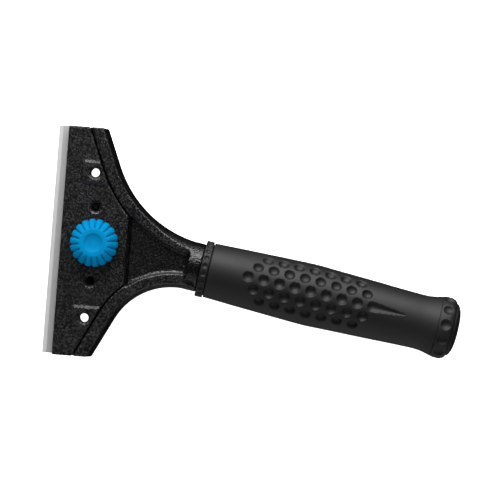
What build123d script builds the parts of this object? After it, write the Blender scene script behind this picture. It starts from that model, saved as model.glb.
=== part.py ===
"""Screw-clamp window scraper: cast head, replaceable blade, thumb knob and rubber handle.

Frame, in millimetres: the origin is in the middle of the head's flat underside, on the line of
the handle. +X runs from the blade to the handle, +Y along the blade and +Z away from the underside.
"""
from build123d import *
from math import atan, cos, radians, sin, tan
import os

# Blade
blade_length = 100.0
blade_thickness = 0.9
blade_edge_thickness = 0.12
bevel_width = 1.75
blade_reach = 4.45            # how far the cutting edge stands out of the clamp plate
blade_bush_gap = 1.1          # the blade's back edge to the screw's bush
blade_stop_clearance = 0.15   # the blade's back edge to its shoulder in the bed

# Head casting, seen from above
plate_front_x = -14.3         # front edge of the clamp plate
bed_setback = 1.0             # the bed's front edge lies this far behind the plate's
head_overhang_high = 0.1      # bed, plate and arm past the blade's +Y end
head_overhang_low = 0.5       # and past its -Y end
arm_tip_x = 2.8               # outer corner of each arm at the head's ends
arm_corner_high = 18.5        # along the neck, where each arm's straight edge would meet it
arm_corner_low = 23.4
arm_sweep_high = 28.4         # along the neck, from that corner to where the sweep into it ends
arm_sweep_low = 21.0
arm_width_high = 6.8          # outer edge to the clamp plate's seat
arm_width_low = 6.9
arm_draft = 12.5              # slope of the outer walls above the parting line
keel_draft = 7.0              # slope of the outer walls below it
web_gap_x = 16.2              # back wall of the plate's seat
web_draft = 24.0              # slope of the walls around the web
web_depth = 2.1               # web floor below the rims
web_lip = 0.9                 # the sloped wall starts this far outside the plate's seat

# Head casting, heights
bed_top = 10.2
plate_thickness = 3.5
front_lip = 2.8               # thickness of the bed at its front edge
wedge_length = 6.2            # length of the sloped underside behind that edge
core_roof = 4.0               # metal left over the underside pockets
core_wall = 5.0               # metal left between a pocket and the outline
rib_width = 2.4

# Clamp plate and its details
seam_clearance = 0.7          # plate to the arms' inner walls
plate_back_gap = 1.5          # plate to the back wall of its seat
pad_height = 0.8
pad_length = 9.8              # along the blade
pad_front_x = -7.4
pad_front_bulge = 0.9         # how far the pad's front edge bows out
pad_draft = 25.0

# Through holes in the raised pads
hang_hole_radius = 1.93
hang_hole_spacing = 63.7
hang_hole_x = -1.3
hang_hole_y = -1.55           # middle of the pair
hang_countersink_radius = 3.0
hang_bed_clearance = 0.6      # the holes are this much wider in the bed

# Guide pins
pin_radius = 1.5
pin_spacing = 32.4
pin_y = -0.9                  # middle of the pair
pin_height = 2.7              # above the plate's seat
pin_depth = 7.5               # below it
pin_running_clearance = 0.08
pin_countersink_radius = 2.9
pin_tip_chamfer = 0.4

# Clamp screw, bush and knob
screw_x = 0.65
screw_y = -0.4
screw_radius = 3.0
screw_tip_z = 3.2
screw_tip_chamfer = 0.6
screw_hole_clearance = 0.3
thread_clearance = 0.05
bush_wall = 1.6
bush_bottom_z = 2.0
boss_wall = 3.0
washer_radius = 7.0
washer_thickness = 0.8
ring_width = 2.0              # how far the ring stands out of the screw
ring_thickness = 0.8
ring_groove_depth = 0.6
ring_recess_clearance = 0.3
ring_opening_share = 0.8      # gap of the ring's open side, of its inner diameter
ring_drop = 0.1               # the plate's underside to the retaining ring
screw_head_flats = 10.0
screw_head_height = 4.0
knob_radius = 10.6
knob_height = 9.4
knob_hub_depth = 1.0          # the knob's underside to the screw head
knob_crown_radius = 6.2
knob_rim_height = 3.6
knob_shoulder_bulge = 1.5     # how far the shoulder bows out of its chord
knob_base_chamfer = 0.8
knob_dish_radius = 3.95
knob_dish_depth = 1.1
knob_flutes = 18
knob_flute_radius = 0.8
knob_flute_start = 8.2        # angle of the first flute, from +X

# Handle, measured along its axis from the origin
handle_angle = -9.33          # from +X, about +Z
handle_axis_z = 6.2
neck_radius = 10.75
neck_proud = 0.08             # the neck stands this far out of the arms' walls
neck_step = 42.5              # where the neck rises above the rims
neck_length = 6.0
keel_start = 20.0             # where the neck's keel leaves the head's underside
pocket_back_x = 14.0          # the underside pockets end here, in X
tang_radius = 6.0
tang_setback = 24.9           # the tang ends this far short of the end cap
core_radius = 9.6
core_bore_clearance = 0.9     # around the tang screw, behind the tang
collar_radius = 12.55
collar_width = 3.7
collar_round = 0.5
grip_length = 102.8
grip_front_radius = 12.2
grip_front_slope = 0.02
grip_belly_at = 45.3          # from the grip's front
grip_belly_radius = 13.72
grip_waist_back = 8.6         # ahead of the end cap
grip_waist_radius = 12.12
grip_end_radius = 13.3
grip_end_slope = 0.28
cap_length = 7.0
cap_peak_at = 3.2             # from the cap's front
cap_peak_radius = 13.75
cap_end_radius = 12.4
cap_floor_thickness = 3.3
plug_radius = 11.75
plug_wall = 1.6
plug_reach = 3.1              # how far the plug stands out of the cap
plug_dome = 1.3               # rise of its crown
plug_edge_round = 1.9
tang_screw_radius = 2.5
tang_screw_engagement = 18.0
tang_screw_head_radius = 4.5
tang_screw_head_height = 2.6
tang_screw_socket_flats = 4.0
tang_screw_socket_depth = 1.8
screw_passage_clearance = 0.4
tang_washer_radius = 6.5
tang_washer_thickness = 0.8

os.makedirs("parts", exist_ok=True)

# Values that follow from the driving dimensions
plate_bottom = bed_top + blade_thickness
rim_top = plate_bottom + plate_thickness
edge_x = plate_front_x - blade_reach
bed_front_x = plate_front_x + bed_setback
plate_back_x = web_gap_x - plate_back_gap
washer_top = rim_top + washer_thickness
knob_top = washer_top + knob_height
head_end_high = blade_length / 2 + head_overhang_high
head_end_low = -blade_length / 2 - head_overhang_low
bush_radius = screw_radius + thread_clearance + bush_wall
blade_back_x = screw_x - bush_radius - blade_bush_gap
shoulder_x = blade_back_x + blade_stop_clearance
ring_radius = screw_radius + ring_width
ring_groove_radius = screw_radius - ring_groove_depth
neck_end = neck_step + neck_length
arm_end = neck_radius - neck_proud
collar_end = neck_end + collar_width
grip_end = collar_end + grip_length
grip_belly = collar_end + grip_belly_at
grip_waist = grip_end - grip_waist_back
cap_end = grip_end + cap_length
plug_end = cap_end + plug_reach
cap_peak = grip_end + cap_peak_at
cap_floor = grip_end + cap_floor_thickness
tang_end = grip_end - tang_setback
tang_screw_tip = tang_end - tang_screw_engagement
core_bore_radius = tang_screw_radius + core_bore_clearance
handle_dir = Vector(cos(radians(handle_angle)), sin(radians(handle_angle)), 0)
handle_side = Vector(-handle_dir.Y, handle_dir.X, 0)
handle_start = Vector(0, 0, handle_axis_z)
handle_axis = Axis(handle_start, handle_dir)
handle_plane = Plane(origin=handle_start, x_dir=handle_dir, z_dir=-handle_side)
up = (0, 0, 1)
down = (0, 0, -1)
pin_places = [(0, pin_y + side * pin_spacing / 2) for side in (1, -1)]
hang_places = [(hang_hole_x, hang_hole_y + side * hang_hole_spacing / 2) for side in (1, -1)]
ring_bottom_z = plate_bottom + ring_drop
screw_head_z = washer_top + knob_hub_depth
web_floor = rim_top - web_depth
screw_passage_radius = tang_screw_radius + screw_passage_clearance
knob_rim = Vector(knob_radius, washer_top + knob_rim_height)
knob_chord = Vector(knob_crown_radius, knob_top) - knob_rim
knob_bulge = Vector(knob_chord.Y, -knob_chord.X) * (knob_shoulder_bulge / knob_chord.length)
plug_sphere = (plug_radius ** 2 + plug_dome ** 2) / (2 * plug_dome)
plug_cavity = plug_radius / 2


def arm_edge(side, inset=0.0, overrun=8.0):
    """One arm's edge in the handle's own frame: start, corner and end, and its sweep's radius.

    The edge is the outer wall moved inward by the inset. It starts past the head's end by the
    overrun and finishes where the neck enters the handle."""
    tip_y = head_end_high if side > 0 else head_end_low
    tip_s = arm_tip_x * handle_dir.X + tip_y * handle_dir.Y
    tip_w = arm_tip_x * handle_side.X + tip_y * handle_side.Y
    corner_s = arm_corner_high if side > 0 else arm_corner_low
    lean = atan((side * arm_end - tip_w) / (corner_s - tip_s))
    tip_s -= inset * abs(sin(lean))
    tip_w -= side * inset * cos(lean)
    corner_w = side * (arm_end - inset)
    corner = (tip_s + (corner_w - tip_w) / tan(lean), corner_w)
    start = (tip_s + side * overrun / tan(lean), tip_w + side * overrun)
    radius = (arm_sweep_high if side > 0 else arm_sweep_low) / tan(abs(lean) / 2) + inset
    return [start, corner, (neck_end, corner_w)], radius


def between_arms(inset_high, inset_low):
    """Outline between both arms' edges, from ahead of the blade to the end of the neck."""
    high, high_radius = arm_edge(1, inset_high)
    low, low_radius = arm_edge(-1, inset_low)
    front = -head_end_high
    with BuildLine() as outline:
        FilletPolyline(*high, radius=high_radius)
        FilletPolyline(*low, radius=low_radius)
        Line(high[2], low[2])
        Polyline(high[0], (front, high[0][1]), (front, low[0][1]), low[0])
    return outline.line.rotate(Axis.Z, handle_angle)


def at_screw(height):
    """Level plane at a height, centred on the clamp screw."""
    return Plane(origin=(screw_x, screw_y, height))


def keep_between(front_x, back_x, high_y=head_end_high, low_y=head_end_low):
    """Trim the sketch in progress to a box in X and Y."""
    with Locations(((front_x + back_x) / 2, (high_y + low_y) / 2)):
        Rectangle(back_x - front_x, high_y - low_y, mode=Mode.INTERSECT)


# Envelope of the head: the arms' outer walls turn into the round neck about the handle's axis
with BuildPart() as arm_rounding:
    for side in (1, -1):
        edge, sweep_radius = arm_edge(side)
        edge = [(s, abs(w)) for s, w in edge]
        with BuildSketch(handle_plane):
            with BuildLine():
                FilletPolyline(*edge, radius=sweep_radius)
                Polyline(edge[2], (edge[2][0], 0), (-head_end_high, 0),
                         (-head_end_high, edge[0][1]), edge[0])
            make_face()
        revolve(axis=Axis(handle_start, handle_dir * -side), revolution_arc=180)

# Head casting: bed, two swept arms with a recessed web, neck and tang
with BuildPart() as head_casting:
    for height, way, draft in ((rim_top - handle_axis_z, up, arm_draft),
                               (handle_axis_z, down, keel_draft)):
        with BuildSketch(Plane.XY.offset(handle_axis_z)):
            with BuildLine():
                add(between_arms(0, 0))
            make_face()
        extrude(amount=height, dir=way, taper=draft)
    # straight cuts at the head's front and ends
    with BuildSketch(Plane.XY):
        with Locations(((bed_front_x + neck_end) / 2, (head_end_high + head_end_low) / 2)):
            Rectangle(neck_end - bed_front_x, head_end_high - head_end_low)
    extrude(amount=rim_top, mode=Mode.INTERSECT)
    add(arm_rounding.part, mode=Mode.INTERSECT)
    # seat of the clamp plate and, a step lower in front of a shoulder, that of the blade
    for seat_z, seat_back_x in ((plate_bottom, web_gap_x), (bed_top, shoulder_x)):
        with BuildSketch(Plane.XY.offset(seat_z)):
            with BuildLine():
                add(between_arms(arm_width_high, arm_width_low))
            make_face()
            keep_between(-head_end_high, seat_back_x, 2 * head_end_high, 2 * head_end_low)
        extrude(amount=rim_top, dir=up, mode=Mode.SUBTRACT)
    # recessed web between the arms, up to the step of the neck
    with BuildSketch(Plane.XY.offset(rim_top)):
        with BuildLine():
            add(between_arms(arm_width_high - web_lip, arm_width_low - web_lip))
        make_face()
        keep_between(web_gap_x - web_lip, neck_end)
        with Locations(Location(handle_dir * neck_step, (0, 0, handle_angle))):
            Rectangle(neck_end, blade_length, align=(Align.MIN, Align.CENTER), mode=Mode.SUBTRACT)
    extrude(amount=web_depth, dir=down, taper=web_draft, mode=Mode.SUBTRACT)
    # sloped underside behind the thin front lip
    with BuildSketch(Plane.XZ):
        with BuildLine():
            Polyline((bed_front_x - wedge_length, 0), (bed_front_x - wedge_length, bed_top - front_lip),
                     (bed_front_x, bed_top - front_lip), (bed_front_x + wedge_length, 0), close=True)
        make_face()
    extrude(amount=blade_length, both=True, mode=Mode.SUBTRACT)
    # pockets in the underside, around the bosses and ribs
    with BuildSketch(Plane.XY):
        with BuildLine():
            add(between_arms(core_wall, core_wall))
        make_face()
        keep_between(bed_front_x + wedge_length + rib_width, pocket_back_x,
                     head_end_high - core_wall, head_end_low + core_wall)
        with Locations((screw_x, screw_y)):
            Circle(bush_radius + boss_wall, mode=Mode.SUBTRACT)
        with Locations(*pin_places):
            Circle(pin_radius + boss_wall, mode=Mode.SUBTRACT)
            Rectangle(2 * neck_end, rib_width, mode=Mode.SUBTRACT)
        with Locations(*hang_places):
            Circle(hang_hole_radius + boss_wall, mode=Mode.SUBTRACT)
    extrude(amount=bed_top - core_roof, dir=up, mode=Mode.SUBTRACT)
    # keel under the web, neck, and the tang inside the handle
    with BuildSketch(handle_plane):
        with BuildLine():
            Polyline((keel_start, 0), (keel_start, handle_axis_z), (neck_step, neck_radius),
                     (neck_end, neck_radius), (neck_end, 0), close=True)
        make_face()
    keel = revolve(axis=handle_axis, mode=Mode.PRIVATE)
    add(split(keel, bisect_by=Plane.XY.offset(web_floor), keep=Keep.BOTTOM, mode=Mode.PRIVATE))
    with BuildSketch(handle_plane):
        with BuildLine():
            Polyline((neck_step, 0), (neck_step, neck_radius), (neck_end, neck_radius),
                     (neck_end, tang_radius), (tang_end, tang_radius), (tang_end, 0), close=True)
        make_face()
    revolve(axis=handle_axis)
    # bores for the bush, the guide pins, the through holes and the tang screw
    with Locations(at_screw(plate_bottom)):
        Hole(bush_radius, depth=plate_bottom - bush_bottom_z)
    with Locations(*[(x, y, plate_bottom) for x, y in pin_places]):
        Hole(pin_radius, depth=pin_depth)
    with Locations(*[(x, y, plate_bottom) for x, y in hang_places]):
        Hole(hang_hole_radius + hang_bed_clearance)
    with BuildSketch(Plane(origin=handle_start + handle_dir * tang_end, z_dir=handle_dir)):
        Circle(tang_screw_radius)
    extrude(amount=tang_screw_tip - tang_end, mode=Mode.SUBTRACT)

# Threaded bush pressed into the bed
with BuildPart() as threaded_bush:
    with BuildSketch(at_screw(bush_bottom_z)):
        Circle(bush_radius)
        Circle(screw_radius + thread_clearance, mode=Mode.SUBTRACT)
    extrude(amount=plate_bottom - bush_bottom_z)

# Guide pins pressed into the bed, one on each side of the clamp screw
guide_pins = []
for place in pin_places:
    with BuildPart() as guide_pin:
        with BuildSketch(Plane.XY.offset(plate_bottom - pin_depth)):
            with Locations(place):
                Circle(pin_radius)
        extrude(amount=pin_depth + pin_height)
        chamfer(guide_pin.faces().sort_by(Axis.Z)[-1].edges(), pin_tip_chamfer)
    guide_pins.append(guide_pin.part)

# Scraper blade, ground on both faces
with BuildPart() as scraper_blade:
    with BuildSketch(Plane.XZ):
        ground = edge_x + bevel_width
        spare = (blade_thickness - blade_edge_thickness) / 2
        with BuildLine():
            Polyline((edge_x, bed_top + spare), (ground, bed_top), (blade_back_x, bed_top),
                     (blade_back_x, plate_bottom), (ground, plate_bottom),
                     (edge_x, plate_bottom - spare), close=True)
        make_face()
    extrude(amount=blade_length / 2, both=True)

# Clamp plate over the blade
with BuildPart() as clamp_plate:
    with BuildSketch(Plane.XY.offset(plate_bottom)):
        with BuildLine():
            add(between_arms(arm_width_high + seam_clearance, arm_width_low + seam_clearance))
        make_face()
        keep_between(plate_front_x, plate_back_x)
    extrude(amount=plate_thickness, dir=up)
    # raised pads around the through holes, their front edge bowed, cut off at the plate's side
    with BuildSketch(Plane.XY.offset(rim_top)):
        for x, y in hang_places:
            with BuildLine():
                corner_x = pad_front_x + pad_front_bulge
                near, far = y + pad_length / 2, y - pad_length / 2
                ThreePointArc((corner_x, near), (pad_front_x, y), (corner_x, far))
                Polyline((corner_x, far), (plate_back_x, far), (plate_back_x, near), (corner_x, near))
            make_face()
        with BuildLine():
            add(between_arms(arm_width_high + seam_clearance, arm_width_low + seam_clearance))
        make_face(mode=Mode.INTERSECT)
    extrude(amount=pad_height, dir=up, taper=pad_draft)
    with Locations(*[(x, y, rim_top + pad_height) for x, y in hang_places]):
        CounterSinkHole(hang_hole_radius, hang_countersink_radius)
    with Locations(*[(x, y, rim_top) for x, y in pin_places]):
        CounterSinkHole(pin_radius + pin_running_clearance, pin_countersink_radius)
    with Locations(at_screw(rim_top)):
        Hole(screw_radius + screw_hole_clearance)
    # room for the retaining ring under the plate
    with BuildSketch(at_screw(plate_bottom)):
        Circle(ring_radius + ring_recess_clearance)
    extrude(amount=ring_bottom_z + ring_thickness + ring_recess_clearance - plate_bottom,
            mode=Mode.SUBTRACT)

# Clamp screw: hexagon head moulded into the knob, shank with the retaining ring's groove
with BuildPart() as clamp_screw:
    with BuildSketch(at_screw(screw_tip_z)):
        Circle(screw_radius)
    extrude(amount=screw_head_z - screw_tip_z)
    with BuildSketch(at_screw(screw_head_z)):
        RegularPolygon(screw_head_flats / 2, 6, major_radius=False)
    extrude(amount=screw_head_height)
    chamfer(clamp_screw.faces().sort_by(Axis.Z)[0].edges(), screw_tip_chamfer)
    with BuildSketch(at_screw(ring_bottom_z)):
        Circle(screw_radius + screw_hole_clearance)
        Circle(ring_groove_radius, mode=Mode.SUBTRACT)
    extrude(amount=ring_thickness, mode=Mode.SUBTRACT)

# Retaining ring that lifts the plate with the screw, open on one side
with BuildPart() as retaining_ring:
    with BuildSketch(at_screw(ring_bottom_z)):
        Circle(ring_radius)
        Circle(ring_groove_radius, mode=Mode.SUBTRACT)
        Rectangle(ring_radius, 2 * ring_groove_radius * ring_opening_share,
                  align=(Align.MIN, Align.CENTER), mode=Mode.SUBTRACT)
    extrude(amount=ring_thickness)

# Flat washer between the plate and the knob
with BuildPart() as knob_washer:
    with BuildSketch(at_screw(rim_top)):
        Circle(washer_radius)
        Circle(screw_radius + screw_hole_clearance, mode=Mode.SUBTRACT)
    extrude(amount=washer_thickness)

# Thumb knob: fluted, sloping in to a flat crown with a finger dish
with BuildPart() as thumb_knob:
    with BuildSketch(Plane(origin=(screw_x, screw_y, 0), x_dir=(1, 0, 0), z_dir=(0, -1, 0))):
        with BuildLine():
            Polyline((0, knob_top), (0, washer_top), (knob_radius - knob_base_chamfer, washer_top),
                     (knob_radius, washer_top + knob_base_chamfer), knob_rim)
            ThreePointArc(knob_rim, knob_rim + knob_chord / 2 + knob_bulge, (knob_crown_radius, knob_top))
            Line((knob_crown_radius, knob_top), (0, knob_top))
        make_face()
    revolve(axis=Axis((screw_x, screw_y, 0), up))
    dish_sphere = (knob_dish_radius ** 2 + knob_dish_depth ** 2) / (2 * knob_dish_depth)
    with Locations(at_screw(knob_top - knob_dish_depth + dish_sphere)):
        Sphere(dish_sphere, mode=Mode.SUBTRACT)
    with BuildSketch(at_screw(washer_top)):
        with PolarLocations(knob_radius + knob_flute_radius / 2, knob_flutes, knob_flute_start):
            Circle(knob_flute_radius)
    extrude(amount=knob_height, mode=Mode.SUBTRACT)
    # pocket moulded around the screw's shank and head
    with BuildSketch(at_screw(washer_top)):
        Circle(screw_radius)
    extrude(amount=knob_hub_depth, mode=Mode.SUBTRACT)
    with BuildSketch(at_screw(screw_head_z)):
        RegularPolygon(screw_head_flats / 2, 6, major_radius=False)
    extrude(amount=screw_head_height, mode=Mode.SUBTRACT)

# Handle core around the tang, from the neck to the end cap
with BuildPart() as grip_core:
    with BuildSketch(handle_plane):
        with BuildLine():
            Polyline((neck_end, tang_radius), (neck_end, core_radius), (grip_end, core_radius),
                     (grip_end, core_bore_radius), (tang_end, core_bore_radius),
                     (tang_end, tang_radius), close=True)
        make_face()
    revolve(axis=handle_axis)

# Collar ring in front of the grip
with BuildPart() as collar_ring:
    with BuildSketch(handle_plane):
        with Locations((neck_end, core_radius)):
            Rectangle(collar_end - neck_end, collar_radius - core_radius, align=Align.MIN)
    revolve(axis=handle_axis)
    fillet(collar_ring.edges().filter_by(GeomType.CIRCLE).sort_by(SortBy.RADIUS)[-2:], collar_round)

# Rubber grip: swells to a belly, narrows to a waist and flares again at the end cap
with BuildPart() as grip_sleeve:
    with BuildSketch(handle_plane):
        with BuildLine():
            Spline((collar_end, grip_front_radius), (grip_belly, grip_belly_radius),
                   (grip_waist, grip_waist_radius), (grip_end, grip_end_radius),
                   tangents=((1, grip_front_slope), (1, grip_end_slope)))
            Polyline((grip_end, grip_end_radius), (grip_end, core_radius), (collar_end, core_radius),
                     (collar_end, grip_front_radius))
        make_face()
    revolve(axis=handle_axis)

# End cap, with the seat of the tang screw and the end plug
with BuildPart() as end_cap:
    with BuildSketch(handle_plane):
        with BuildLine():
            Spline((grip_end, grip_end_radius), (cap_peak, cap_peak_radius), (cap_end, cap_end_radius))
            Polyline((cap_end, cap_end_radius), (cap_end, plug_radius), (cap_floor, plug_radius),
                     (cap_floor, screw_passage_radius), (grip_end, screw_passage_radius),
                     (grip_end, grip_end_radius))
        make_face()
    revolve(axis=handle_axis)

# Tang screw with its washer, under the end plug
with BuildPart() as tang_washer:
    with BuildSketch(handle_plane):
        with Locations((cap_floor, screw_passage_radius)):
            Rectangle(tang_washer_thickness, tang_washer_radius - screw_passage_radius, align=Align.MIN)
    revolve(axis=handle_axis)

with BuildPart() as tang_screw:
    with BuildSketch(handle_plane):
        with BuildLine():
            head_seat = cap_floor + tang_washer_thickness
            Polyline((tang_screw_tip, 0), (tang_screw_tip, tang_screw_radius),
                     (head_seat, tang_screw_radius), (head_seat, tang_screw_head_radius),
                     (head_seat + tang_screw_head_height, tang_screw_head_radius),
                     (head_seat + tang_screw_head_height, 0), close=True)
        make_face()
    revolve(axis=handle_axis)
    with BuildSketch(Plane(origin=handle_start + handle_dir * (head_seat + tang_screw_head_height),
                           z_dir=handle_dir)):
        RegularPolygon(tang_screw_socket_flats / 2, 6, major_radius=False)
    extrude(amount=-tang_screw_socket_depth, mode=Mode.SUBTRACT)

# Domed end plug, pressed into the end cap over the screw
with BuildPart() as end_plug:
    with BuildSketch(handle_plane):
        with BuildLine():
            inner = plug_radius - plug_wall
            shoulder = plug_end - plug_dome
            Polyline((cap_floor, inner), (cap_floor, plug_radius), (shoulder, plug_radius))
            RadiusArc((shoulder, plug_radius), (plug_end, 0), plug_sphere)
            Line((plug_end, 0), (plug_end - plug_wall, 0))
            Polyline((plug_end - plug_wall, 0), (plug_end - plug_wall, plug_cavity), (cap_end, inner),
                     (cap_floor, inner))
        make_face()
    revolve(axis=handle_axis)
    rims = end_plug.edges().filter_by(GeomType.CIRCLE)
    rims = rims.filter_by(lambda rim: abs(rim.radius - plug_radius) < 0.01)
    fillet(rims.sort_by(handle_axis)[-1], plug_edge_round)

pieces = {
    "head_casting": head_casting.part,
    "threaded_bush": threaded_bush.part,
    "guide_pin_left": guide_pins[0],
    "guide_pin_right": guide_pins[1],
    "scraper_blade": scraper_blade.part,
    "clamp_plate": clamp_plate.part,
    "clamp_screw": clamp_screw.part,
    "retaining_ring": retaining_ring.part,
    "knob_washer": knob_washer.part,
    "thumb_knob": thumb_knob.part,
    "grip_core": grip_core.part,
    "collar_ring": collar_ring.part,
    "grip_sleeve": grip_sleeve.part,
    "end_cap": end_cap.part,
    "tang_washer": tang_washer.part,
    "tang_screw": tang_screw.part,
    "end_plug": end_plug.part,
}
for name, piece in pieces.items():
    piece.label = name
    export_step(piece, f"parts/{name}.step")
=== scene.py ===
"""Screw-clamp window scraper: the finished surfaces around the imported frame, in metres."""
import math

import bmesh
import bpy
import numpy as np
from mathutils import Matrix, Vector


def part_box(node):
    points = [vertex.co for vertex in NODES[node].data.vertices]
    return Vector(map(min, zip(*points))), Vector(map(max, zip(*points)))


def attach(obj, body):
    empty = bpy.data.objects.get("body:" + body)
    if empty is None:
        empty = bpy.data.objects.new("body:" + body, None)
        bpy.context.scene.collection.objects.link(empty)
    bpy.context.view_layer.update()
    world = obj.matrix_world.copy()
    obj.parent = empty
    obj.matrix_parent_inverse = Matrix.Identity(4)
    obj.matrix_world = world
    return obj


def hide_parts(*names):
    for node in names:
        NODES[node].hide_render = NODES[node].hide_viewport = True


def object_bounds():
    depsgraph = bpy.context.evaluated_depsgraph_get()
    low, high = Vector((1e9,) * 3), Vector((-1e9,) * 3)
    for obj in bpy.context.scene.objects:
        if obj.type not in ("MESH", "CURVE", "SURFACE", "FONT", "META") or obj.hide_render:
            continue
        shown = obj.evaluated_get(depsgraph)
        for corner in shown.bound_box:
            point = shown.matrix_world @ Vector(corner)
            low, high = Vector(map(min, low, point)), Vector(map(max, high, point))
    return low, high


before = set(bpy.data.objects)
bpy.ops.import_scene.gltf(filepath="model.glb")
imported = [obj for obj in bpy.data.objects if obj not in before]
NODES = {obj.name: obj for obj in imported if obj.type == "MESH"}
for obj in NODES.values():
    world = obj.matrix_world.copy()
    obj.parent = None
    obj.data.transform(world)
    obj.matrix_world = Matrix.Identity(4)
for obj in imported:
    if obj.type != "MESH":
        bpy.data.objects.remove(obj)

MM = 0.001
CAD_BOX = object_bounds()


# ---------------------------------------------------------------- places read from the frame

def middle(node):
    """Centre of a CAD node's box."""
    low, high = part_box(node)
    return (low + high) / 2


def handle_frame():
    """Matrix of the handle's own axes: X back along it from the clamp screw, Z up."""
    front = middle("collar_ring")
    back = middle("tang_washer")
    along = (back - front).normalized()
    start = front - along * (front.x / along.x)
    side = Vector((0, 0, 1)).cross(along)
    axes = Matrix((along, side, Vector((0, 0, 1)))).transposed().to_4x4()
    return Matrix.Translation((0, start.y, front.z)) @ axes


HANDLE = handle_frame()


def reach(node):
    """Where a round CAD node starts and ends along the handle, and its largest radius."""
    turned = [HANDLE.inverted() @ v.co for v in NODES[node].data.vertices]
    places = [p.x for p in turned]
    radius = max(math.hypot(p.y, p.z) for p in turned)
    return min(places), max(places), radius


NECK_END, COLLAR_END, COLLAR_RADIUS = reach("collar_ring")
GRIP_FRONT, GRIP_END, _ = reach("grip_sleeve")
CAP_FRONT, CAP_END, CAP_RADIUS = reach("end_cap")
PLUG_FRONT, PLUG_END, PLUG_RADIUS = reach("end_plug")
KNOB_LOW, KNOB_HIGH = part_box("thumb_knob")
KNOB_RADIUS = (KNOB_HIGH.y - KNOB_LOW.y) / 2
RIM_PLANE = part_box("knob_washer")[0].z
KNOB_MIDDLE = middle("thumb_knob")
KNOB_AXIS = (Matrix.Translation((KNOB_MIDDLE.x, KNOB_MIDDLE.y, 0))
             @ Matrix.Rotation(math.radians(-90), 4, "Y"))
FIRST_FLUTE = math.radians(8.2)
FLUTE_COUNT = 18
BEVEL_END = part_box("scraper_blade")[0].x + 1.75 * MM
CORE_RADIUS = 9.6 * MM
PATTERN_TURN = math.radians(7.0)      # of the grip's dimples and groove, from straight up
TRACE = 1e-7                          # a radius under this is a pole


# ---------------------------------------------------------------- node trees as expressions

class Value:
    """A node's output socket that takes part in Python arithmetic."""

    def __init__(self, tree, socket):
        self.tree = tree
        self.socket = socket

    def math(self, operation, *others, flip=False):
        terms = (*others, self) if flip else (self, *others)
        return self.tree.add("ShaderNodeMath", {"operation": operation}, dict(enumerate(terms)))

    def out(self, name):
        """Another output of the same node."""
        return Value(self.tree, self.socket.node.outputs[name])

    def __add__(self, other):
        return self.math("ADD", other)

    __radd__ = __add__

    def __sub__(self, other):
        return self.math("SUBTRACT", other)

    def __rsub__(self, other):
        return self.math("SUBTRACT", other, flip=True)

    def __mul__(self, other):
        return self.math("MULTIPLY", other)

    __rmul__ = __mul__

    def __truediv__(self, other):
        return self.math("DIVIDE", other)

    def __pow__(self, other):
        return self.math("POWER", other)

    def __abs__(self):
        return self.math("ABSOLUTE")

    def rounded(self):
        return (self + 0.5).math("FLOOR")

    def least(self, other):
        return self.math("MINIMUM", other)

    def most(self, other):
        return self.math("MAXIMUM", other)

    def ramp(self, low, high, to_low=0.0, to_high=1.0):
        """Rises smoothly from to_low to to_high as the value goes from low to high."""
        sockets = {0: self, 1: low, 2: high, 3: to_low, 4: to_high}
        return self.tree.add("ShaderNodeMapRange", {"interpolation_type": "SMOOTHSTEP"}, sockets)


class Nodes:
    """Builds a node tree: one method adds any node."""

    def __init__(self, tree):
        self.tree = tree

    def add(self, kind, settings=None, sockets=None, out=0):
        node = self.tree.nodes.new(kind)
        for key, value in (settings or {}).items():
            if key == "stops":
                self.set_stops(node.color_ramp, value)
            else:
                setattr(node, key, value)
        for key, value in (sockets or {}).items():
            if isinstance(value, Value):
                self.tree.links.new(value.socket, node.inputs[key])
            else:
                node.inputs[key].default_value = value
        return Value(self, node.outputs[out]) if len(node.outputs) else node

    @staticmethod
    def set_stops(ramp, stops):
        while len(ramp.elements) < len(stops):
            ramp.elements.new(0.5)
        for element, (place, colour) in zip(ramp.elements, stops):
            element.position = place
            element.color = colour


# ---------------------------------------------------------------- materials

def grey(value):
    return (value, value, value, 1.0)


def material(name, settings, shade=None):
    """A Principled material; shade(nodes) returns what varies over the surface."""
    made = bpy.data.materials.new(name)
    made.use_nodes = True
    made.node_tree.nodes.clear()
    nodes = Nodes(made.node_tree)
    sockets = dict(settings)
    if shade:
        sockets.update(shade(nodes))
    surface = nodes.add("ShaderNodeBsdfPrincipled", {}, sockets)
    nodes.add("ShaderNodeOutputMaterial", {}, {"Surface": surface})
    return made


def place_of(nodes):
    return nodes.add("ShaderNodeTexCoord", out="Object")


def mixed(nodes, factor, low, high):
    """A colour between two, by a varying factor."""
    sockets = {0: factor, 6: low, 7: high}
    return nodes.add("ShaderNodeMix", {"data_type": "RGBA"}, sockets, out=2)


def noise(nodes, place, scale, detail=2.0, roughness=0.5, stretch=None):
    if stretch:
        place = nodes.add("ShaderNodeMapping", {}, {"Vector": place, "Scale": stretch})
    sockets = {"Vector": place, "Scale": scale, "Detail": detail, "Roughness": roughness}
    return nodes.add("ShaderNodeTexNoise", {}, sockets)


def bump(nodes, height, distance, strength=1.0):
    sockets = {"Height": height, "Distance": distance, "Strength": strength}
    return nodes.add("ShaderNodeBump", {}, sockets)


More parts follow.
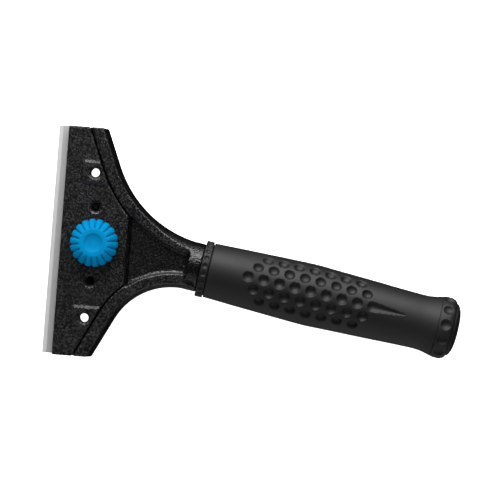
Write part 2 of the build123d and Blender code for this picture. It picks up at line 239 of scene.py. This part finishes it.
def hammer_paint(nodes):
    """Black textured paint: worm-like grains, greyer on top, which ran smoother on the round neck; below
    the rim plane the recess is darkened as painted shade.
    """
    place = place_of(nodes)
    cells = nodes.add("ShaderNodeTexVoronoi", {"feature": "SMOOTH_F1"},
                      {"Vector": place, "Scale": 1250.0, "Smoothness": 0.4})
    worms = noise(nodes, place, 1550.0, 1.0, 0.4)
    patches = noise(nodes, place, 90.0, 2.0)
    grain = (1.0 - cells) * 0.5 + worms * 0.9
    tops = grain.ramp(0.60, 0.95)
    along = nodes.add("ShaderNodeSeparateXYZ", {}, {0: place})
    neck = along.ramp(NECK_END - 9 * MM, NECK_END - 6 * MM)
    # painted shade: the recess below the rim plane is painted darker, as shade that falls there
    recess_painted_shade = along.out("Z").ramp(RIM_PLANE - 1.9 * MM, RIM_PLANE - 0.6 * MM, 1.0, 0.0)
    dry = mixed(nodes, tops, grey(0.0030), grey(0.026))
    # darker paint for the round neck, which also serves as the painted shade in the recess
    neck_paint_and_painted_shade = mixed(nodes, tops, grey(0.0015), grey(0.005))
    return {
        "Base Color": mixed(nodes, neck.most(recess_painted_shade * 0.75), dry, neck_paint_and_painted_shade),
        "Roughness": patches.ramp(0.3, 0.7, 0.27, 0.33),
        "Normal": bump(nodes, grain, 0.00042, 0.58),
    }


def moulded_rubber(nodes):
    """Black rubber with a matt skin, a little uneven in tone and gloss."""
    place = place_of(nodes)
    skin = noise(nodes, place, 2600.0, 1.0)
    cloud = noise(nodes, place, 45.0, 3.0)
    return {
        "Base Color": mixed(nodes, cloud.ramp(0.3, 0.7), grey(0.0032), grey(0.0048)),
        "Roughness": cloud.ramp(0.3, 0.7, 0.58, 0.64),
        "Normal": bump(nodes, skin, 0.00002, 0.5),
    }


def ground_steel(nodes):
    """Blade steel: fine grinding lines along the blade, and a bevel painted lighter as a painted
    highlight for the light its slope catches.
    """
    place = place_of(nodes)
    lines = noise(nodes, place, 1.0, 3.0, 0.6, stretch=(5200.0, 160.0, 160.0))
    drift = noise(nodes, place, 1.0, 2.0, 0.5, stretch=(60.0, 14.0, 60.0))
    along = nodes.add("ShaderNodeSeparateXYZ", {}, {0: place})
    bevel = along.ramp(BEVEL_END - 0.05 * MM, BEVEL_END + 0.05 * MM, 1.0, 0.0)
    shade = lines * 0.5 + drift * 0.5
    flat = mixed(nodes, shade.ramp(0.35, 0.65), grey(0.66), grey(0.75))
    # painted highlight: the bevel's lighter colour stands in for the light its slope catches
    bevel_painted_highlight = mixed(nodes, shade.ramp(0.3, 0.7), grey(0.80), grey(0.90))
    return {
        "Base Color": mixed(nodes, bevel, flat, bevel_painted_highlight),
        "Metallic": 1.0 - bevel * 0.12,
        "Roughness": 0.68 + (lines - 0.5) * 0.12,
        "Normal": bump(nodes, lines, 0.000012, 0.5),
    }


def blue_plastic(nodes):
    """Satin blue moulding, its tone a little uneven from the granules it was moulded from."""
    place = place_of(nodes)
    cloud = noise(nodes, place, 180.0, 2.0)
    skin = noise(nodes, place, 3200.0, 1.0)
    return {
        "Base Color": mixed(nodes, cloud.ramp(0.3, 0.7),
                            (0.0, 0.148, 0.325, 1), (0.0, 0.163, 0.355, 1)),
        "Roughness": cloud.ramp(0.3, 0.7, 0.50, 0.58),
        "Normal": bump(nodes, skin, 0.00001, 0.4),
    }


def turned_metal(low, high):
    """Small turned or plated parts, with faint tool marks."""
    def shade(nodes):
        place = place_of(nodes)
        marks = noise(nodes, place, 900.0, 2.0)
        return {
            "Base Color": mixed(nodes, marks.ramp(0.3, 0.7), low, high),
            "Roughness": marks.ramp(0.3, 0.7, 0.28, 0.42),
            "Normal": bump(nodes, marks, 0.00001, 0.3),
        }
    return shade


def core_plastic(nodes):
    place = place_of(nodes)
    cloud = noise(nodes, place, 400.0, 2.0)
    return {
        "Base Color": mixed(nodes, cloud.ramp(0.3, 0.7), grey(0.03), grey(0.04)),
        "Roughness": cloud.ramp(0.3, 0.7, 0.5, 0.6),
    }


CAST_PAINT = material("hammer_paint_black", {"Metallic": 0.0}, hammer_paint)
RUBBER = material("moulded_rubber_black", {"Metallic": 0.0}, moulded_rubber)
BLADE_STEEL = material("ground_blade_steel", {}, ground_steel)
KNOB_BLUE = material("satin_blue_moulding", {"Metallic": 0.0, "Specular IOR Level": 0.03}, blue_plastic)
ZINC = material("zinc_plated_steel", {"Metallic": 1.0}, turned_metal(grey(0.42), grey(0.52)))
BLACKENED = material("blackened_steel", {"Metallic": 1.0}, turned_metal(grey(0.020), grey(0.035)))
BRASS = material("turned_brass", {"Metallic": 1.0},
                 turned_metal((0.60, 0.42, 0.16, 1), (0.70, 0.52, 0.22, 1)))
CORE = material("moulded_core", {"Metallic": 0.0}, core_plastic)


# ---------------------------------------------------------------- mesh helpers

def new_object(name, data):
    made = bpy.data.objects.new(name, data)
    bpy.context.scene.collection.objects.link(made)
    return made


def settle(obj):
    """Turns an object with live modifiers into one with a plain mesh."""
    depsgraph = bpy.context.evaluated_depsgraph_get()
    mesh = bpy.data.meshes.new_from_object(obj.evaluated_get(depsgraph))
    obj.modifiers.clear()
    old = obj.data
    obj.data = mesh
    bpy.data.meshes.remove(old)
    return obj


def finish_piece(obj, finish, body, slot, *nodes, smooth_angle=None):
    """Gives a piece its finish, its body and the CAD nodes it stands for."""
    obj.data.materials.clear()
    obj.data.materials.append(finish)
    for face in obj.data.polygons:
        face.use_smooth = True
        face.material_index = 0
    if smooth_angle:
        obj.data.set_sharp_from_angle(angle=math.radians(smooth_angle))
    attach(obj, body)
    if nodes:
        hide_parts(*nodes)
    return obj


def rounded_line(points, radius, steps=6):
    """Corner points with every inner corner rounded to about the radius."""
    line = [Vector(points[0])]
    for before, corner, after in zip(points, points[1:], points[2:]):
        corner = Vector(corner)
        back = Vector(before) - corner
        ahead = Vector(after) - corner
        cut = min(radius, back.length * 0.45, ahead.length * 0.45)
        start = corner + back.normalized() * cut
        end = corner + ahead.normalized() * cut
        for step in range(steps + 1):
            t = step / steps
            line.append(start * (1 - t) ** 2 + corner * 2 * t * (1 - t) + end * t ** 2)
    line.append(Vector(points[-1]))
    return line


def even_line(points, spacing):
    """A line's points spread evenly, so that the faces along it are the same size."""
    flat = np.array([tuple(p) for p in points])
    lengths = np.concatenate([[0], np.cumsum(np.hypot(*np.diff(flat, axis=0).T))])
    count = max(2, round(lengths[-1] / spacing))
    marks = np.linspace(0, lengths[-1], count + 1)
    return [Vector((np.interp(mark, lengths, flat[:, 0]), np.interp(mark, lengths, flat[:, 1])))
            for mark in marks]


def curve_through(points, count=200):
    """A smooth line through a few points, each a place along and a radius."""
    x, y = np.array(points).T
    slope = np.gradient(y, x)
    marks = np.linspace(x[0], x[-1], count + 1)
    index = np.clip(np.searchsorted(x, marks) - 1, 0, len(x) - 2)
    width = x[index + 1] - x[index]
    t = (marks - x[index]) / width
    radius = (y[index] * (2 * t ** 3 - 3 * t ** 2 + 1) + y[index + 1] * (3 * t ** 2 - 2 * t ** 3)
              + width * slope[index] * (t ** 3 - 2 * t ** 2 + t)
              + width * slope[index + 1] * (t ** 3 - t ** 2))
    return list(zip(marks, radius))


def lathe(name, line, segments):
    """A closed turned solid about the local X axis from a line of places and radii."""
    shape = bmesh.new()
    rings = []
    for along, radius in line:
        if radius < TRACE:
            rings.append([shape.verts.new((along, 0, 0))])
            continue
        turns = [math.tau * k / segments for k in range(segments)]
        rings.append([shape.verts.new((along, radius * math.sin(turn), radius * math.cos(turn)))
                      for turn in turns])
    for near, far in zip(rings, rings[1:] + rings[:1]):
        if len(near) == 1 and len(far) == 1:
            continue
        for k in range(segments):
            corners = [near[k % len(near)], near[(k + 1) % len(near)],
                       far[(k + 1) % len(far)], far[k % len(far)]]
            shape.faces.new(dict.fromkeys(corners))
    bmesh.ops.recalc_face_normals(shape, faces=shape.faces)
    mesh = bpy.data.meshes.new(name)
    shape.to_mesh(mesh)
    shape.free()
    return new_object(name, mesh)


# ---------------------------------------------------------------- geometry nodes

def modifier_tree(name, inputs):
    """A geometry tree with named sizes; returns it, its builder and its inputs as values."""
    tree = bpy.data.node_groups.new(name, "GeometryNodeTree")
    tree.interface.new_socket("Geometry", in_out="INPUT", socket_type="NodeSocketGeometry")
    for key in inputs:
        tree.interface.new_socket(key, in_out="INPUT", socket_type="NodeSocketFloat")
    tree.interface.new_socket("Material", in_out="INPUT", socket_type="NodeSocketMaterial")
    tree.interface.new_socket("Geometry", in_out="OUTPUT", socket_type="NodeSocketGeometry")
    nodes = Nodes(tree)
    start = nodes.add("NodeGroupInput")
    return tree, nodes, {key: start.out(key) for key in ("Geometry", *inputs, "Material")}


def close_tree(nodes, geometry, finish):
    """Every tree ends in real, painted faces."""
    real = nodes.add("GeometryNodeRealizeInstances", {}, {"Geometry": geometry})
    painted = nodes.add("GeometryNodeSetMaterial", {}, {"Geometry": real, "Material": finish})
    nodes.add("NodeGroupOutput", {}, {"Geometry": painted})


def apply_tree(obj, tree, values, finish):
    """Puts a tree on an object with its sizes, and makes the result a plain mesh."""
    modifier = obj.modifiers.new(tree.name, "NODES")
    modifier.node_group = tree
    names = {item.name: item.identifier for item in tree.interface.items_tree
             if item.in_out == "INPUT"}
    for key, value in values.items():
        modifier[names[key]] = value
    modifier[names["Material"]] = finish
    return settle(obj)


def polar(nodes):
    """Place along the axis, radius and angle from straight up, of each vertex."""
    place = nodes.add("GeometryNodeInputPosition")
    x = nodes.add("ShaderNodeSeparateXYZ", {}, {0: place})
    y, z = x.out("Y"), x.out("Z")
    radius = (y * y + z * z).math("SQRT")
    return place, x, radius, y.math("ARCTAN2", z)


def bowl(depth, spread):
    """Depth of a round dish, by the distance from its middle over its radius."""
    return depth * (1.0 - spread * spread).most(0.0) ** 0.7


def pushed_in(nodes, geometry, place, x, radius, depth):
    """The surface moved towards the axis by the depth."""
    keep = (radius - depth) / radius.most(1e-6)
    flat = nodes.add("ShaderNodeVectorMath", {"operation": "MULTIPLY"}, {0: place, 1: (1, 0, 0)})
    round_part = nodes.add("ShaderNodeVectorMath", {"operation": "MULTIPLY"}, {0: place, 1: (0, 1, 1)})
    shrunk = nodes.add("ShaderNodeVectorMath", {"operation": "SCALE"}, {0: round_part, "Scale": keep})
    moved = nodes.add("ShaderNodeVectorMath", {"operation": "ADD"}, {0: flat, 1: shrunk})
    return nodes.add("GeometryNodeSetPosition", {}, {"Geometry": geometry, "Position": moved})


def dimple_tree():
    """Staggered rows of round dimples about the axis, repeated after a given turn."""
    keys = ("Turn", "Repeat", "Row Angle", "Rows Each Side", "First", "Last", "Stagger", "Pitch",
            "Radius", "Depth", "Skin Radius")
    tree, nodes, v = modifier_tree("Dimples", keys)
    place, x, radius, angle = polar(nodes)
    from_top = angle - v["Turn"]
    patch = from_top - v["Repeat"] * (from_top / v["Repeat"]).rounded()
    row = (patch / v["Row Angle"]).rounded()
    row = row.least(v["Rows Each Side"]).most(v["Rows Each Side"] * -1.0)
    start = v["First"] + v["Stagger"] * abs(row)
    last = ((v["Last"] - start) / v["Pitch"]).math("FLOOR").most(0.0)
    step = ((x - start) / v["Pitch"]).rounded().most(0.0).least(last)
    ahead = x - start - step * v["Pitch"]
    aside = (patch - row * v["Row Angle"]) * v["Skin Radius"]
    spread = (ahead * ahead + aside * aside).math("SQRT") / v["Radius"]
    outside = (radius / v["Skin Radius"]).ramp(0.86, 0.90)
    depth = bowl(v["Depth"], spread.least(1.0)) * outside
    close_tree(nodes, pushed_in(nodes, v["Geometry"], place, x, radius, depth), v["Material"])
    return tree


def groove_tree():
    """A teardrop groove that tapers to a point towards the back, and another half a turn round."""
    keys = ("Turn", "Front", "Back", "Half Width", "Depth", "Skin Radius")
    tree, nodes, v = modifier_tree("Thumb groove", keys)
    place, x, radius, angle = polar(nodes)
    from_top = angle - v["Turn"]
    aside = (from_top - math.pi * (from_top / math.pi).rounded()) * v["Skin Radius"]
    widest = v["Front"] + v["Half Width"]
    along = x.most(widest).least(v["Back"])
    width = (v["Half Width"] * ((v["Back"] - along) / (v["Back"] - widest)) ** 0.75).most(1e-5)
    ahead = x - along
    spread = (ahead * ahead + aside * aside).math("SQRT") / width
    outside = (radius / v["Skin Radius"]).ramp(0.80, 0.86)
    depth = bowl(v["Depth"] * (width / v["Half Width"]) ** 0.6, spread.least(1.0)) * outside
    close_tree(nodes, pushed_in(nodes, v["Geometry"], place, x, radius, depth), v["Material"])
    return tree


def flute_tree():
    """Petals about the axis: narrow valleys that start outside the crown and deepen outwards."""
    keys = ("Turn", "Flutes", "Crown", "Rim", "Depth")
    tree, nodes, v = modifier_tree("Flutes", keys)
    place, x, radius, angle = polar(nodes)
    off = (angle - v["Turn"]) * v["Flutes"] / math.tau
    valley = 1.0 - abs(off - off.rounded()) * 2.0
    fade = radius.ramp(v["Crown"], v["Rim"])
    depth = v["Depth"] * valley.most(0.0) ** 3.5 * fade
    normal = nodes.add("GeometryNodeInputNormal")
    push = nodes.add("ShaderNodeVectorMath", {"operation": "SCALE"}, {0: normal, "Scale": depth * -1.0})
    moved = nodes.add("GeometryNodeSetPosition", {}, {"Geometry": v["Geometry"], "Offset": push})
    close_tree(nodes, moved, v["Material"])
    return tree


DIMPLES = dimple_tree()
GROOVE = groove_tree()
FLUTES = flute_tree()


# ---------------------------------------------------------------- cast head and clamp plate

def softened(name, node, voxel, passes):
    """A copy of a CAD node with the soft edges of a casting under thick paint."""
    mesh = NODES[node].data.copy()
    shape = bmesh.new()
    shape.from_mesh(mesh)
    bmesh.ops.remove_doubles(shape, verts=shape.verts, dist=1e-6)
    shape.to_mesh(mesh)
    shape.free()
    obj = new_object(name, mesh)
    remesh = obj.modifiers.new("Even skin", "REMESH")
    remesh.mode = "VOXEL"
    remesh.voxel_size = voxel
    smooth = obj.modifiers.new("Soft edges", "SMOOTH")
    smooth.factor = 0.5
    smooth.iterations = passes
    return settle(obj)


def build_head():
    head = softened("cast_head", "head_casting", 0.50 * MM, 3)
    finish_piece(head, CAST_PAINT, "root", "cast_paint", "head_casting")


def build_plate():
    plate = softened("clamp_plate_painted", "clamp_plate", 0.36 * MM, 3)
    finish_piece(plate, CAST_PAINT, "clamp", "cast_paint", "clamp_plate")


# ---------------------------------------------------------------- thumb knob

def build_knob():
    base = KNOB_LOW.z
    height = KNOB_HIGH.z - base
    crown = 6.2 * MM
    dish = 3.95 * MM
    dish_depth = 1.0 * MM
    bore = 3.0 * MM
    rim = KNOB_RADIUS - 0.12 * MM
    top = base + height
    line = [(base, bore), (base, rim - 0.8 * MM), (base + 0.8 * MM, rim), (base + 0.38 * height, rim),
            (base + 0.62 * height, rim - 0.9 * MM), (base + 0.90 * height, crown + 1.5 * MM),
            (top, crown), (top, dish + 0.15 * MM), (top - 0.45 * dish_depth, dish - 0.3 * MM),
            (top - 0.85 * dish_depth, dish * 0.6), (top - dish_depth, dish * 0.25), (top - dish_depth, 0)]
    line = even_line(rounded_line(line, 1.2 * MM), 0.2 * MM)
    hub = base + 1.0 * MM
    line.append(Vector((hub, 0)))
    line.append(Vector((hub, bore)))
    knob = lathe("thumb_knob_fluted", line, FLUTE_COUNT * 20)
    sizes = {"Turn": math.pi - FIRST_FLUTE, "Flutes": float(FLUTE_COUNT), "Crown": crown - 0.4 * MM,
             "Rim": crown + 1.0 * MM, "Depth": 1.0 * MM}
    apply_tree(knob, FLUTES, sizes, KNOB_BLUE)
    knob.data.transform(KNOB_AXIS)
    finish_piece(knob, KNOB_BLUE, "knob", "knob_plastic", "thumb_knob")


# ---------------------------------------------------------------- handle

def build_grip():
    radii = {0: 12.15, 7.8: 12.45, 11.8: 12.65, 19.8: 12.92, 27.8: 13.22, 35.8: 13.48, 43.8: 13.70,
             47.8: 13.72, 51.8: 13.55, 59.8: 13.27, 67.8: 13.02, 75.8: 12.72, 83.8: 12.40, 91.8: 12.15,
             95.8: 12.10, 99.8: 12.55}
    outside = curve_through([*((GRIP_FRONT + x * MM, r * MM) for x, r in radii.items()),
                             (GRIP_END, 13.30 * MM)])
    line = even_line([(GRIP_FRONT, CORE_RADIUS), *outside, (GRIP_END, CORE_RADIUS)], 0.34 * MM)
    grip = lathe("grip_sleeve_dimpled", line, 250)
    sizes = {"Turn": PATTERN_TURN, "Repeat": math.pi, "Row Angle": math.radians(22.5),
             "Rows Each Side": 2.0, "First": 69.6 * MM, "Last": 122.3 * MM, "Stagger": 3.5 * MM,
             "Pitch": 7.0 * MM, "Radius": 2.35 * MM, "Depth": 1.45 * MM, "Skin Radius": 13.3 * MM}
    apply_tree(grip, DIMPLES, sizes, RUBBER)
    sizes = {"Turn": PATTERN_TURN, "Front": 123.2 * MM, "Back": 140.5 * MM, "Half Width": 2.2 * MM,
             "Depth": 1.2 * MM, "Skin Radius": 12.6 * MM}
    apply_tree(grip, GROOVE, sizes, RUBBER)
    grip.data.transform(HANDLE)
    finish_piece(grip, RUBBER, "root", "grip_rubber", "grip_sleeve", smooth_angle=50)


def build_collar():
    back = COLLAR_END - 0.35 * MM
    step = 11.4 * MM
    line = rounded_line([(NECK_END, CORE_RADIUS), (NECK_END, COLLAR_RADIUS), (back, COLLAR_RADIUS),
                         (back, step), (COLLAR_END, step), (COLLAR_END, CORE_RADIUS)], 0.5 * MM, 4)
    collar = lathe("collar_ring_dimpled", even_line(line, 0.16 * MM), 440)
    ring = (NECK_END + back) / 2
    sizes = {"Turn": PATTERN_TURN, "Repeat": math.tau, "Row Angle": math.tau / 22,
             "Rows Each Side": 11.0, "First": ring, "Last": ring, "Stagger": 0.0,
             "Pitch": 10 * MM, "Radius": 1.2 * MM, "Depth": 0.6 * MM, "Skin Radius": COLLAR_RADIUS}
    apply_tree(collar, DIMPLES, sizes, RUBBER)
    collar.data.transform(HANDLE)
    finish_piece(collar, RUBBER, "root", "grip_rubber", "collar_ring", smooth_angle=50)


def build_end_cap():
    inner = 2.9 * MM
    seat = CAP_FRONT + 3.3 * MM
    rim = PLUG_RADIUS
    ring = CAP_FRONT + 3.3 * MM
    radii = {0.15: 13.25, 1.0: 13.50, 3.3: 13.75, 5.2: 13.50, 5.7: 13.25, 6.2: 13.00, 6.7: 12.45,
             7.0: 12.05}
    outside = curve_through([(CAP_FRONT + x * MM, r * MM) for x, r in radii.items()], 60)
    line = [(CAP_FRONT, inner), (CAP_FRONT, 13.0 * MM), *outside, (CAP_END, rim), (seat, rim),
            (seat, inner)]
    cap = lathe("end_cap_dimpled", even_line(line, 0.25 * MM), 360)
    sizes = {"Turn": PATTERN_TURN, "Repeat": math.tau, "Row Angle": math.radians(30),
             "Rows Each Side": 6.0, "First": ring, "Last": ring, "Stagger": 0.0,
             "Pitch": 10 * MM, "Radius": 2.3 * MM, "Depth": 1.3 * MM, "Skin Radius": CAP_RADIUS}
    apply_tree(cap, DIMPLES, sizes, RUBBER)
    cap.data.transform(HANDLE)
    finish_piece(cap, RUBBER, "root", "grip_rubber", "end_cap", smooth_angle=50)


def build_end_plug():
    wall = 1.6 * MM
    radii = {0: 0, 0.42: 5.9, 0.9: 8.8, 1.45: 10.1, 1.9: 10.95, 2.35: 11.45, 2.9: 11.72}
    dome = curve_through([(PLUG_END - x * MM, r * MM) for x, r in reversed(radii.items())], 60)
    line = [(PLUG_FRONT, PLUG_RADIUS), *dome, (PLUG_END - wall, 0), (PLUG_END - wall, PLUG_RADIUS / 2),
            (CAP_END, PLUG_RADIUS - wall), (PLUG_FRONT, PLUG_RADIUS - wall)]
    plug = lathe("end_plug_domed", line, 120)
    plug.data.transform(HANDLE)
    finish_piece(plug, RUBBER, "root", "grip_rubber", "end_plug", smooth_angle=40)


# ---------------------------------------------------------------- frame parts that keep their shape

def dress(node, finish):
    """A CAD node whose shape is right gets its finish."""
    obj = NODES[node]
    obj.data.materials.clear()
    obj.data.materials.append(finish)


def dress_frame_parts():
    dress("scraper_blade", BLADE_STEEL)
    dress("threaded_bush", BRASS)
    dress("grip_core", CORE)
    for node in ("guide_pin_left", "guide_pin_right"):
        dress(node, BLACKENED)
    for node in ("clamp_screw", "retaining_ring", "knob_washer", "tang_screw", "tang_washer"):
        dress(node, ZINC)


# ---------------------------------------------------------------- stage, lights and camera

VIEW_TURN = math.radians(4.47)
VIEW_CENTRE = Vector((0.0688, 0.0018, RIM_PLANE))


def build_stage():
    floor_z = CAD_BOX[0][2]
    size = 3.0
    mesh = bpy.data.meshes.new("floor")
    corners = [(x * size, y * size, floor_z) for x, y in ((-1, -1), (1, -1), (1, 1), (-1, 1))]
    mesh.from_pydata(corners, [], [(0, 1, 2, 3)])
    floor = new_object("floor", mesh)
    mesh.materials.append(material("pale_floor", {"Base Color": grey(0.8), "Roughness": 0.9,
                                                  "Emission Color": grey(1.0), "Emission Strength": 1.0}))
    floor.visible_glossy = False
    floor.visible_diffuse = False
    floor.visible_shadow = False


def softbox(name, lean, distance, size, radiance):
    """An even rectangular light aimed at the view's centre, leaning from straight above to +Y."""
    across = Vector((-math.sin(VIEW_TURN), math.cos(VIEW_TURN), 0))
    way = across * math.sin(lean) + Vector((0, 0, math.cos(lean)))
    data = bpy.data.lights.new(name, "AREA")
    data.shape = "RECTANGLE"
    data.size, data.size_y = size
    data.energy = radiance * math.pi * size[0] * size[1]
    lamp = new_object(name, data)
    lamp.location = VIEW_CENTRE + way * distance
    lamp.rotation_euler = way.to_track_quat("Z", "Y").to_euler()
    return lamp


def build_lights():
    world = bpy.data.worlds.new("studio")
    bpy.context.scene.world = world
    world.use_nodes = True
    background = world.node_tree.nodes["Background"]
    background.inputs["Color"].default_value = grey(1.0)
    background.inputs["Strength"].default_value = 0.55
    world.cycles_visibility.glossy = False
    softbox("key_softbox", math.radians(60), 1.0, (1.3, 0.62), 8.0)
    softbox("low_fill", math.radians(-64), 1.2, (1.6, 0.45), 0.9)
    softbox("floor_bounce", math.radians(-106), 1.2, (1.8, 1.5), 0.50)
    overhead = softbox("overhead_diffuser", 0.0, 1.6, (1.6, 1.6), 0.85)
    overhead.visible_glossy = False


def build_camera():
    """Straight down on the head's plane, turned so that the blade leans as it should."""
    distance = 1.1
    width_seen = 0.2188
    data = bpy.data.cameras.new("camera")
    data.sensor_width = 36.0
    data.lens = data.sensor_width * distance / width_seen
    data.clip_end = 20.0
    camera = new_object("camera", data)
    camera.location = VIEW_CENTRE + Vector((0, 0, distance))
    camera.rotation_euler = (0, 0, VIEW_TURN)
    bpy.context.scene.camera = camera


build_camera()
build_stage()
build_lights()
build_head()
build_plate()
build_knob()
build_grip()
build_collar()
build_end_cap()
build_end_plug()
dress_frame_parts()
bpy.context.scene.view_settings.view_transform = "Standard"
